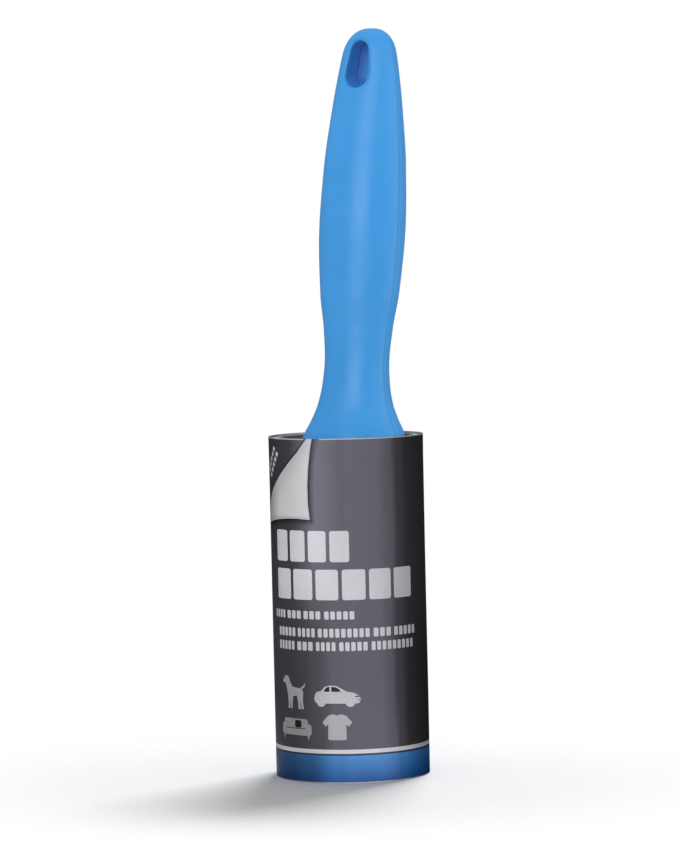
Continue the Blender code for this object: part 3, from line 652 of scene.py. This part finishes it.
def build_spindle(natural, steel):
    """The spindle with its collar and flats, the two washers and the screw."""
    profile = [(0.0, 22.0), (1.6, 22.0), (1.6, 6.0), (4.0, 6.0), (4.0, 106.0), (5.6, 106.0), (5.6, 108.5),
               (4.0, 108.5), (4.0, 125.4), (3.4, 126.0), (0.0, 126.0)]
    axle = object_of("drum_axle", turned(eased(profile, 0.3, closed=False), closed=False), natural)
    flats = bmesh.new()
    for side in (-1, 1):
        add_prism(flats, [(side * 5.2 + x, y) for x, y in rectangle(2.0, 6.0)], 114.0, 128.0)
    axle = carved(axle, [("DIFFERENCE", object_of("flats", flats))])
    piece(smoothed(axle), "handle", "spindle")
    thrust = eased([(BORE_R, 92.2), (9.0, 92.2), (9.0, 93.3), (BORE_R, 93.3)], 0.25)
    thrust = object_of("thrust_ring", turned(thrust), natural)
    piece(smoothed(thrust), "handle", "thrust_washer")
    keeper = eased([(1.55, 4.9), (6.5, 4.9), (6.5, 5.85), (1.55, 5.85)], 0.15)
    piece(smoothed(object_of("keeper_ring", turned(keeper), steel)), "handle", "retaining_washer")

    profile = [(0.0, 2.7), (1.2, 2.72), (2.3, 2.86), (3.05, 3.2), (3.42, 3.75), (3.5, 4.3), (3.5, 4.62), (3.38, 4.75),
               (1.45, 4.75), (1.45, 16.0), (0.0, 17.6)]
    screw = object_of("keeper_screw", turned(profile, closed=False), steel)
    r, w = CROSS_REACH, CROSS_HALF_WIDTH
    quarter = [(r, -w), (r, w), (w, w)]
    cross = [tuple(Matrix.Rotation(i * math.pi / 2, 2) @ Vector(point)) for i in range(4) for point in quarter]
    scales = ((1.7, 0.0), (2.9, 0.05), (4.0, 0.45))  # height, and how much narrower the recess is there
    recess = bmesh.new()
    add_rings(recess, [[(x * (1 - inset), y * (1 - inset), z) for x, y in cross] for z, inset in scales])
    screw = carved(screw, [("DIFFERENCE", object_of("cross", recess))])
    piece(smoothed(screw), "handle", "retaining_screw")


# ---- refill


def wound(name, start, turn, inner, low, high, paint):
    """A sheet that goes round from an angle, closed at both ends."""
    bm = bmesh.new()
    rows = []
    for i in range(ROLL_STEPS + 1):
        a = start + turn * (i / ROLL_STEPS)
        corners = ((inner, low), (inner + SHEET_THICKNESS, low), (inner + SHEET_THICKNESS, high), (inner, high))
        rows.append([bm.verts.new((r * math.cos(a), r * math.sin(a), z)) for r, z in corners])
    for here, there in zip(rows, rows[1:]):
        for i in range(4):
            bm.faces.new((here[i], here[(i + 1) % 4], there[(i + 1) % 4], there[i]))
    bm.faces.new(rows[0])
    bm.faces.new(rows[-1])
    return object_of(name, bm, paint)


def build_sheets(paint):
    """The thirty sheets, from the outermost in."""
    for number in range(1, SHEET_COUNT + 1):
        inner = CORE_OUTER_R + (SHEET_PITCH - SHEET_THICKNESS) + (SHEET_COUNT - number) * SHEET_PITCH
        start = math.radians((number * CUT_STEP + FIRST_CUT) % 360) + SHEET_CUT / 2 / inner
        low, high = SHEET_LOW + rng.uniform(-0.12, 0.12), SHEET_HIGH + rng.uniform(-0.15, 0.10)
        sheet = wound(f"sticky_sheet_{number:02d}", start, math.tau - SHEET_CUT / inner, inner, low, high, paint)
        piece(smoothed(sheet), "refill", f"sheet_{number:02d}")


def build_core(paint):
    """The cardboard tube: chamfered rims and, inside, the shallow spiral line where its strip was wound."""
    middle = [0.8 + 1.2 * i for i in range(83)]
    heights = [0.0, CORE_CHAMFER] + middle + [CORE_HEIGHT - CORE_CHAMFER, CORE_HEIGHT]

    def inner(angle, z):
        turn = (z / SEAM_PITCH - angle / math.tau) % 1.0
        near = min(turn, 1 - turn) * SEAM_PITCH
        return CORE_INNER_R + SEAM_DEPTH * max(0.0, 1 - near / SEAM_REACH)

    bm = bmesh.new()
    loops = []
    for z in heights:
        chamfer = CORE_CHAMFER if z in (0.0, CORE_HEIGHT) else 0.0
        loop = []
        for i in range(ROLL_STEPS):
            a = math.tau * i / ROLL_STEPS
            r = inner(a, z) + chamfer
            loop.append(bm.verts.new((r * math.cos(a), r * math.sin(a), z)))
        loops.append(loop)
    rim_r, edge = CORE_OUTER_R - 0.1, 0.1
    outside = ((CORE_HEIGHT, rim_r), (CORE_HEIGHT - edge, CORE_OUTER_R), (edge, CORE_OUTER_R), (0.0, rim_r))
    for z, r in outside:
        loops.append([bm.verts.new((x, y, z)) for x, y in circle(r, ROLL_STEPS)])
    for low, high in zip(loops, loops[1:] + loops[:1]):
        for i in range(ROLL_STEPS):
            j = (i + 1) % ROLL_STEPS
            bm.faces.new((low[i], low[j], high[j], high[i]))
    core = object_of("core_tube", bm, paint)
    piece(smoothed(core), "refill", "cardboard_core")


# ---- printed cover


# Inks: red, green, blue and the share of the sheen they take.
GREY, INK = (0.043, 0.0405, 0.048, 1.0), (0.59, 0.58, 0.605, 1.0)
STRIPE, DARK_LINE = (0.66, 0.65, 0.67, 1.0), (0.022, 0.035, 0.08, 0.4)
BAND_TOP, BAND_LOW = (0.058, 0.285, 0.690, 0.40), (0.014, 0.105, 0.395, 0.2)
DETAIL, SHADOW = (0.012, 0.012, 0.014, 0.25), (0.006, 0.006, 0.007, 0.0)
PALE_EDGE, CURL_LIGHT, CURL_DARK = (0.46, 0.46, 0.47, 0.6), (0.58, 0.58, 0.59, 0.8), (0.44, 0.44, 0.45, 0.8)
SOFA_GREY, ICON_GREY, CAR_GREY = (0.31, 0.305, 0.315, 1.0), (0.39, 0.385, 0.40, 1.0), (0.50, 0.495, 0.51, 1.0)


def rounded(x0, x1, y0, y1, r=0.4, steps=3):
    """A rectangle with rounded corners."""
    r = min(r, (x1 - x0) / 2.01, (y1 - y0) / 2.01)
    points = []
    for cx, cy, start in ((x1 - r, y1 - r, 0), (x0 + r, y1 - r, 90), (x0 + r, y0 + r, 180), (x1 - r, y0 + r, 270)):
        for i in range(steps + 1):
            a = math.radians(start + 90 * i / steps)
            points.append((cx + r * math.cos(a), cy + r * math.sin(a)))
    return points


def disc(x, y, rx, ry=None):
    return [(x + px * rx, y + py * (ry or rx)) for px, py in circle(1.0, 20)]


def moved(outline, x, y):
    return [(x + px, y + py) for px, py in outline]


def bar_row(start, end, low, high, pitch, gap, corner=0.3):
    """A row of plain blocks that stands for a word."""
    count = max(1, round((end - start + gap) / pitch))
    width = (end - start + gap) / count - gap
    starts = [start + i * (width + gap) for i in range(count)]
    return [rounded(x, x + width, low, high, corner) for x in starts]


def dog():
    """A standing dog seen from the side, in a box of about 10 by 10, facing left."""
    return [
        disc(2.0, 8.5, 1.35, 1.2),
        rounded(0.0, 2.0, 7.5, 8.6, 0.5),
        [(1.3, 8.0), (3.2, 8.6), (4.9, 6.3), (4.0, 4.4), (2.4, 4.6)],
        disc(4.0, 5.1, 1.75, 1.55),
        [(3.4, 6.6), (7.4, 6.2), (8.6, 5.2), (8.4, 3.7), (6.6, 3.9), (3.6, 3.6)],
        disc(7.6, 4.8, 1.4, 1.45),
        [(2.5, 4.4), (4.2, 4.4), (3.6, 0.4), (3.5, 0.0), (2.6, 0.0), (2.8, 1.0)],
        [(3.9, 4.4), (5.0, 4.2), (4.6, 0.3), (4.5, 0.0), (3.8, 0.0), (4.0, 0.8)],
        [(6.5, 4.4), (7.9, 4.2), (7.9, 2.2), (8.0, 0.0), (7.1, 0.0), (7.0, 2.0)],
        [(7.6, 4.6), (9.0, 4.7), (8.8, 2.4), (9.2, 0.0), (8.3, 0.0), (8.0, 2.4)],
        [(8.4, 5.9), (9.4, 6.5), (9.9, 7.6), (9.6, 7.7), (9.0, 6.9), (8.1, 6.4)],
    ]


def car():
    """A saloon seen from the side, in a box of 14 by 6.4, facing right: (body outlines, dark outlines)."""
    body = [
        [(0.5, 1.2), (0.05, 2.2), (0.35, 3.7), (1.0, 4.4), (2.2, 4.6), (3.4, 5.9), (4.8, 6.35), (7.0, 6.25),
         (8.3, 5.5), (9.8, 4.6), (12.2, 4.1), (13.6, 3.3), (14.0, 2.3), (13.7, 1.2), (12.9, 1.0), (1.2, 1.0)],
        disc(2.3, 1.45, 1.45),
        disc(11.0, 1.45, 1.45),
    ]
    dark = [
        [(3.1, 4.5), (3.5, 5.3), (4.2, 5.85), (4.9, 5.95), (4.9, 4.5)],
        [(5.45, 4.5), (5.45, 5.95), (6.8, 5.85), (7.7, 5.3), (8.3, 4.5)],
        rounded(12.3, 13.7, 2.95, 3.25, 0.12),
        rounded(13.3, 13.7, 1.9, 2.2, 0.12),
    ]
    return body, dark


def sofa():
    """A two-seat sofa seen from the front, in a box of 12.5 by 6."""
    body = [
        rounded(1.2, 11.3, 2.4, 6.0, 0.9),
        rounded(0.0, 2.0, 1.1, 4.6, 0.9),
        rounded(10.5, 12.5, 1.1, 4.6, 0.9),
        rounded(0.6, 11.9, 1.1, 3.0, 0.4),
        [(0.7, 1.3), (1.5, 1.3), (1.2, 0.0), (0.8, 0.0)],
        [(11.0, 1.3), (11.8, 1.3), (11.7, 0.0), (11.3, 0.0)],
    ]
    dark = [rounded(6.3, 8.9, 3.35, 5.6, 0.5), rounded(2.1, 10.4, 3.0, 3.22, 0.1)]
    return body, dark


def shirt():
    """A T-shirt laid flat, in a box of about 9 by 7.6."""
    return [
        [(1.7, 0.3), (2.3, 0.0), (6.7, 0.0), (7.2, 0.3), (7.1, 4.6), (7.9, 4.0), (8.9, 5.2), (7.2, 7.2), (5.7, 7.7),
         (4.5, 7.3), (3.3, 7.7), (1.8, 7.2), (0.0, 5.2), (1.0, 4.0), (1.8, 4.6)],
    ]


def inside(outline, x, y):
    hit = False
    for (xi, yi), (xj, yj) in zip(outline, outline[-1:] + outline[:-1]):
        if (yi > y) != (yj > y) and x < (xj - xi) * (y - yi) / (yj - yi) + xi:
            hit = not hit
    return hit


CURL_RIGHT = ((-10.2, 101.6), (-10.9, 98.0), (-11.6, 93.0), (-12.0, 88.0), (-11.95, 82.5), (-11.4, 77.7))
CURL_LOW = ((-16.0, 78.0), (-20.5, 77.9), (-25.0, 77.5), (-29.0, 76.9), (-32.4, 76.2))
CURL_FOLD = ((-32.6, 79.0), (-31.8, 82.3), (-29.2, 85.6), (-24.6, 89.6), (-19.5, 94.0), (-15.6, 97.4), (-12.0, 101.6))
SHADOW_STEPS, SHADOW_REACH = 7, 2.4


def curl(inset):
    """The printed page curl: its straight right edge, its lower edge, and the fold that runs up to the rim."""
    right = [(x - inset, y) for x, y in CURL_RIGHT[:-1]]
    corner = [(CURL_RIGHT[-1][0] - inset, CURL_RIGHT[-1][1] + inset)]
    return right + corner + [(x, y + inset) for x, y in CURL_LOW] + list(CURL_FOLD)


def curl_shadow(reach):
    """The curl's outline grown to the right, below and past the fold."""
    right = [(x + reach, y) for x, y in CURL_RIGHT[:-1]]
    corner = [(CURL_RIGHT[-1][0] + 0.8 * reach, CURL_RIGHT[-1][1] - 0.7 * reach)]
    low = [(x, y - reach) for x, y in CURL_LOW]
    fold = [(x - 0.35 * reach, y + 0.25 * reach if y < 101 else y) for x, y in CURL_FOLD]
    return right + corner + low + fold


HEADINGS = (
    # low, high, start, end, blocks
    (65.3, 74.5, -26.0, 0.2, 4),
    (54.1, 63.1, -26.0, 20.7, 6),
)
WORDS = (
    # low, high, words (start, end)
    (48.4, 50.8, ((-27.9, -22.2), (-21.0, -15.4), (-14.4, -8.8), (-7.6, 1.3))),
    (43.1, 45.7, ((-25.7, -17.7), (-16.7, -10.7), (-9.7, 5.7), (6.9, 12.4), (13.6, 22.0))),
    (39.1, 41.7, ((-25.7, -18.2), (-17.0, -11.5), (-10.4, -4.4), (-3.3, 5.0), (6.2, 21.0))),
)


def blended(a, b, share):
    share = min(1.0, max(0.0, share))
    return tuple(p + (q - p) * share for p, q in zip(a, b))


def label_marks():
    """The printing, as (outline, ink at a point), the topmost first. x runs round the cover, y is height."""

    def flat(ink):
        return lambda x, y: ink

    def flap(x, y):
        """Darker beside the fold, light towards the free corner."""
        fold_x = CURL_FOLD[-1][0]
        for (x0, y0), (x1, y1) in zip(CURL_FOLD, CURL_FOLD[1:]):
            if y0 <= y <= y1:
                fold_x = x0 + (x1 - x0) * (y - y0) / (y1 - y0)
        return blended(CURL_DARK, CURL_LIGHT, (x - fold_x) / 7.0)

    marks = []
    light, dark = flat(INK), flat(DETAIL)
    for low, high, start, end, count in HEADINGS:
        marks += [(block, light) for block in bar_row(start, end, low, high, (end - start) / count, 1.1, 0.7)]
    for low, high, spans in WORDS:
        for start, end in spans:
            marks += [(block, light) for block in bar_row(start, end, low, high, 1.75, 0.5)]
    for (body, details), (x, y), tone in (
        (car(), (-11.4, 22.6), flat(CAR_GREY)),
        (sofa(), (-25.0, 12.7), flat(SOFA_GREY)),
        ((dog(), []), (-24.2, 21.6), flat(ICON_GREY)),
        ((shirt(), []), (-8.9, 12.8), flat(ICON_GREY)),
    ):
        marks += [(moved(outline, x, y), dark) for outline in details]
        marks += [(moved(outline, x, y), tone) for outline in body]
    marks += [(curl(0.40), flap), (curl(0.0), flat(PALE_EDGE))]
    for i in range(1, SHADOW_STEPS + 1):
        share = i / SHADOW_STEPS
        marks.append((curl_shadow(SHADOW_REACH * share), flat(blended(SHADOW, GREY, share**0.8))))
    block = [(0.0, 0.0), (1.1, -0.75), (1.8, 0.35), (0.7, 1.1)]
    for row in range(2):
        for i in range(5):
            marks.append((moved(block, -32.4 + 1.15 * i + 1.9 * row, 91.9 + 1.55 * i - 1.5 * row), light))
    return marks


def build_cover(paint):
    """The cover: the printing and a grid, triangulated flat, then rolled up and given a thickness."""
    half = PRINT_R * COVER_TURN / 2
    start = PRINT_R * (COVER_START_ANGLE - PRINT_FRONT)
    end = start + 2 * half
    marks = label_marks()
    levels = [0.0, CUT_EDGE, BAND_HIGH, LINE_HIGH, STRIPE_HIGH, COVER_HEIGHT - CUT_EDGE, COVER_HEIGHT]
    verts, edges = [], []

    def add_loop(points, closed=True):
        first = len(verts)
        verts.extend(Vector(p) for p in points)
        edges.extend((first + i, first + i + 1) for i in range(len(points) - 1))
        if closed:
            edges.append((first + len(points) - 1, first))

    for i in range(COVER_COLUMNS + 1):
        x = start + (end - start) * i / COVER_COLUMNS
        add_loop([(x, 0.0), (x, COVER_HEIGHT)], closed=False)
    for y in sorted(levels + [COVER_LOW_ROW + COVER_ROW_STEP * i for i in range(COVER_ROWS)]):
        add_loop([(start, y), (end, y)], closed=False)
    for outline, _ in marks:
        add_loop(outline)
    points, _, faces, _, _, _ = delaunay_2d_cdt(verts, edges, [], 0, 1e-5)

    boxes = []
    for outline, colour in marks:
        xs, ys = [p[0] for p in outline], [p[1] for p in outline]
        boxes.append((min(xs), max(xs), min(ys), max(ys), outline, colour))

    def plain(x, y):
        if y < CUT_EDGE or y > COVER_HEIGHT - CUT_EDGE:
            return PALE_EDGE
        if y < BAND_HIGH:
            return blended(BAND_LOW, BAND_TOP, (y / BAND_HIGH) ** 1.2)
        if y < LINE_HIGH:
            return DARK_LINE
        if y < STRIPE_HIGH:
            return STRIPE
        return GREY

    def colour_of(x, y):
        for x0, x1, y0, y1, outline, colour in boxes:
            if x0 <= x <= x1 and y0 <= y <= y1 and inside(outline, x, y):
                return colour
        return None

    def rolled(x, y, out):
        """A point of the flat printing put on the roll: the paper waves, opens at the rim and lifts at its edge."""
        t = (x - start) / (end - start)
        a = PRINT_FRONT + x / PRINT_R
        wave = 0.05 * noise.noise(Vector((2.2 * math.cos(a), 2.2 * math.sin(a), y / 40)))
        uneven = 0.7 + noise.noise(Vector((1.5 * math.cos(a), 1.5 * math.sin(a), 5)))
        lift = 0.10 * max(0.0, (y - 92) / 9.6) ** 2 * uneven
        lip = 0.22 * math.exp(-t * 60)
        r = COVER_START_R + (COVER_END_R - COVER_START_R) * t + out + wave * min(1, t * 12) + lift + lip
        return (r * math.cos(a), r * math.sin(a), y)

    bm = bmesh.new()
    ink = bm.loops.layers.float_color.new("ink")
    outer = [bm.verts.new(rolled(p.x, p.y, COVER_THICKNESS)) for p in points]
    inner = [bm.verts.new(rolled(p.x, p.y, 0.0)) for p in points]
    used = {}
    for face in faces:
        flat = [points[i] for i in face]
        x, y = sum(p.x for p in flat) / 3, sum(p.y for p in flat) / 3
        colour = colour_of(x, y)
        made = bm.faces.new([outer[i] for i in face])
        for loop, p in zip(made.loops, flat):
            if colour is not None:
                value = colour(p.x, p.y)
            elif CUT_EDGE < y < BAND_HIGH:
                value = plain(p.x, min(BAND_HIGH - 0.01, max(CUT_EDGE + 0.01, p.y)))
            else:
                value = plain(x, y)
            loop[ink] = value
        back = bm.faces.new([inner[i] for i in reversed(face)])
        for loop in back.loops:
            loop[ink] = PALE_EDGE
        for a, b in zip(face, face[1:] + face[:1]):
            key = (min(a, b), max(a, b))
            used[key] = None if key in used else (a, b)
    for a, b in [pair for pair in used.values() if pair]:
        side = bm.faces.new((outer[b], outer[a], inner[a], inner[b]))
        for loop in side.loops:
            loop[ink] = PALE_EDGE
    cover = object_of("cover_print", bm, paint)
    piece(smoothed(cover), "cover", "printed_cover")


# ---- stage


def build_stage():
    """A pale floor that melts into the white surround. From below, the view and nearby light pass through it."""
    bm = bmesh.new()
    level = Matrix.Translation((0, 0, -FLOOR_DROP))
    bmesh.ops.create_circle(bm, cap_ends=True, segments=64, radius=FLOOR_R, matrix=level)
    p = Paint("floor", (0.9, 0.9, 0.9), 0.6)
    p.set("Base Color", p.mix(p.noise(60, 3), FLOOR_TONE, tuple(c + 0.015 for c in FLOOR_TONE)))
    p.set("Specular IOR Level", 0.1)
    distance = p.vector("LENGTH", p.place, output="Value")
    fade = p.node("ShaderNodeMapRange", {"interpolation_type": "SMOOTHERSTEP"}, Value=distance)
    fade.inputs["From Min"].default_value, fade.inputs["From Max"].default_value = FLOOR_FADE
    below = p.node("ShaderNodeNewGeometry").outputs["Backfacing"]
    path = p.node("ShaderNodeLightPath").outputs
    close = p.maths("LESS_THAN", path["Ray Length"], UNDER_REACH * MM)
    under = p.maths("MULTIPLY", p.maths("LESS_THAN", distance, UNDER_R * MM), close)
    clear = p.node("ShaderNodeBsdfTransparent").outputs[0]
    share = p.maths("MAXIMUM", fade.outputs[0], p.maths("MAXIMUM", below, under))
    blend = p.node("ShaderNodeMixShader", i0=share, i1=p.shader.outputs[0], i2=clear)
    p.join(blend.outputs[0], p.tree.nodes["Material Output"].inputs["Surface"])
    floor = object_of("floor", bm, p.material)
    floor.data.flip_normals()
    return floor


def away(azimuth, elevation):
    """A unit vector toward an azimuth measured to the right of the main view, and an elevation."""
    azimuth += VIEW_AZIMUTH
    level = math.cos(elevation)
    return Vector((math.sin(azimuth) * level, -math.cos(azimuth) * level, math.sin(elevation)))


def build_camera():
    data = bpy.data.cameras.new("camera")
    camera = linked("camera", data)
    right = Vector((math.cos(VIEW_AZIMUTH), math.sin(VIEW_AZIMUTH), 0.0))
    camera.location = away(0.0, 0.0) * CAMERA_DISTANCE + Vector((0, 0, CAMERA_HEIGHT))
    aim = right * AIM_RIGHT + Vector((0, 0, AIM_HEIGHT))
    look = (aim - camera.location).to_track_quat("-Z", "Y").to_matrix()
    camera.rotation_euler = (look @ Matrix.Rotation(-CAMERA_ROLL, 3, "Z")).to_euler()
    data.sensor_width, data.lens = SENSOR, LENS
    data.clip_start, data.clip_end = 0.05, 50.0
    bpy.context.scene.camera = camera


def area_light(name, azimuth, elevation, size, brightness, receivers=None, diffuse=True, glossy=True):
    """A soft light that lights a white surface facing it to the given brightness."""
    data = bpy.data.lights.new(name, "AREA")
    data.shape, data.energy = "RECTANGLE", brightness * math.pi**2 * LIGHT_DISTANCE**2
    data.size, data.size_y = size
    light = linked(name, data)
    light.location = MIDDLE + away(math.radians(azimuth), math.radians(elevation)) * LIGHT_DISTANCE
    light.rotation_euler = (MIDDLE - light.location).to_track_quat("-Z", "Y").to_euler()
    light.visible_diffuse, light.visible_glossy = diffuse, glossy
    if receivers is not None:
        group = bpy.data.collections.new(f"{name}_receivers")
        for lit in receivers:
            group.objects.link(lit)
        light.light_linking.receiver_collection = group


def build_light(grip, whole, floor):
    world = bpy.data.worlds.new("studio")
    world.use_nodes = True
    bpy.context.scene.world = world
    nodes, links = world.node_tree.nodes, world.node_tree.links
    path = nodes.new("ShaderNodeLightPath").outputs
    white = (1.0, 1.0, 1.0, 1.0)

    def background(strength):
        made = nodes.new("ShaderNodeBackground")
        made.inputs["Color"].default_value, made.inputs["Strength"].default_value = white, strength
        return made.outputs[0]

    def chosen(share, a, b):
        mix = nodes.new("ShaderNodeMixShader")
        for value, socket in zip((share, a, b), mix.inputs):
            links.new(value, socket)
        return mix.outputs[0]

    surround = chosen(path["Is Glossy Ray"], background(AMBIENT), background(REFLECTED))
    shown = chosen(path["Is Camera Ray"], surround, background(1.0))
    links.new(shown, nodes["World Output"].inputs["Surface"])
    area_light("key", -30, 25, (0.8, 0.8), 0.55, whole, glossy=False)
    area_light("top", 180, 72, (0.9, 0.9), 0.35, whole, glossy=False)
    area_light("back", 180, 25, (0.9, 0.9), 0.50, whole, glossy=False)
    area_light("floor_light", 157, 45, (0.62, 0.55), 1.10, [floor], glossy=False)
    area_light("grip_right", 72, 15, (0.9, 0.9), 0.50, grip, glossy=False)
    area_light("grip_left", -100, 15, (0.9, 0.9), 0.10, grip, glossy=False)
    area_light("grip_strip", -8, 4, (0.9, 1.0), 0.35, grip, diffuse=False)
    area_light("grip_edge", 98, 4, (0.4, 1.0), 0.10, grip, diffuse=False)


def main():
    blue, ink, paper, board = grip_paint(), print_paint(), sheet_paint(), cardboard_paint()
    natural, steel = natural_paint(), steel_paint()
    grip = build_grip(blue)
    build_sheets(paper)
    build_core(board)
    build_cover(ink)
    build_drum(blue)
    build_spindle(natural, steel)
    floor = build_stage()
    whole = [made for made in bpy.context.scene.objects if made.type == "MESH" and made is not floor]
    build_light(grip, whole, floor)
    build_camera()
    bpy.context.scene.view_settings.view_transform = "Standard"


main()
